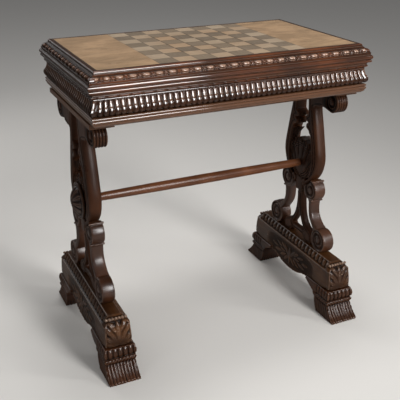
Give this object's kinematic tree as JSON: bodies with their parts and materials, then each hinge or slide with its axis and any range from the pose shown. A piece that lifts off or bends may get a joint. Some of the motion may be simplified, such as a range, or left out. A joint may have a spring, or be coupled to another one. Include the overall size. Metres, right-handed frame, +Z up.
{
  "type": "chess table",
  "caption": "Carved lyre-end games table: inlaid chessboard on a moulded lid hinged over a gadrooned storage well, scrolled ends on runner feet, turned stretcher.",
  "frame": {"origin": "on the floor under the middle of the table", "axes": "+Z up, +X along the stretcher and the long side of the top, -Y towards the player's side in the picture, so the hinges are on the +Y side"},
  "size_m": [0.705, 0.478, 0.74],
  "materials": {
    "carved_wood": "semi_gloss",
    "turned_wood": "semi_gloss",
    "light_inlay": "semi_gloss",
    "dark_inlay": "semi_gloss",
    "panel_veneer": "semi_gloss",
    "border_inlay": "semi_gloss",
    "inner_wood": "matte",
    "hinge_brass": "satin",
    "screw_steel": "satin"
  },
  "bodies": {
    "stand": {"base_moulding_back": "carved_wood", "base_moulding_front": "carved_wood", "base_moulding_left": "carved_wood", "base_moulding_right": "carved_wood", "beam_dowels_left": "inner_wood", "beam_dowels_right": "inner_wood", "boss_left": "carved_wood", "boss_right": "carved_wood", "cleat_left": "carved_wood", "cleat_right": "carved_wood", "cleat_screws": "screw_steel", "corner_blocks": "inner_wood", "foot_back_left": "carved_wood", "foot_back_right": "carved_wood", "foot_front_left": "carved_wood", "foot_front_right": "carved_wood", "frieze_back": "carved_wood", "frieze_front": "carved_wood", "frieze_left": "carved_wood", "frieze_right": "carved_wood", "hinge_frame_leaves": "hinge_brass", "hinge_frame_screws": "screw_steel", "hinge_pins": "hinge_brass", "lyre_arm_back_left": "carved_wood", "lyre_arm_back_right": "carved_wood", "lyre_arm_front_left": "carved_wood", "lyre_arm_front_right": "carved_wood", "lyre_web_left": "carved_wood", "lyre_web_right": "carved_wood", "runner_beam_left": "carved_wood", "runner_beam_right": "carved_wood", "scroll_back_left": "carved_wood", "scroll_back_right": "carved_wood", "scroll_front_left": "carved_wood", "scroll_front_right": "carved_wood", "stretcher": "turned_wood", "well_floor": "inner_wood", "wishbone_left": "carved_wood", "wishbone_right": "carved_wood"},
    "lid": {"lid_panel": "inner_wood", "lid_moulding_front": "carved_wood", "lid_moulding_back": "carved_wood", "lid_moulding_left": "carved_wood", "lid_moulding_right": "carved_wood", "veneer_panel_left": "panel_veneer", "veneer_panel_right": "panel_veneer", "board_light_squares": "light_inlay", "board_dark_squares": "dark_inlay", "field_border_strips": "border_inlay", "hinge_lid_leaves": "hinge_brass", "hinge_lid_screws": "screw_steel"}
  },
  "joints": [
    {"name": "lid_hinge", "type": "hinge", "parent": "stand", "child": "lid", "pos_m": [0, 0.20449, 0.68435], "axis": [-1, 0, 0], "range_deg": [0, 100]}
  ]
}
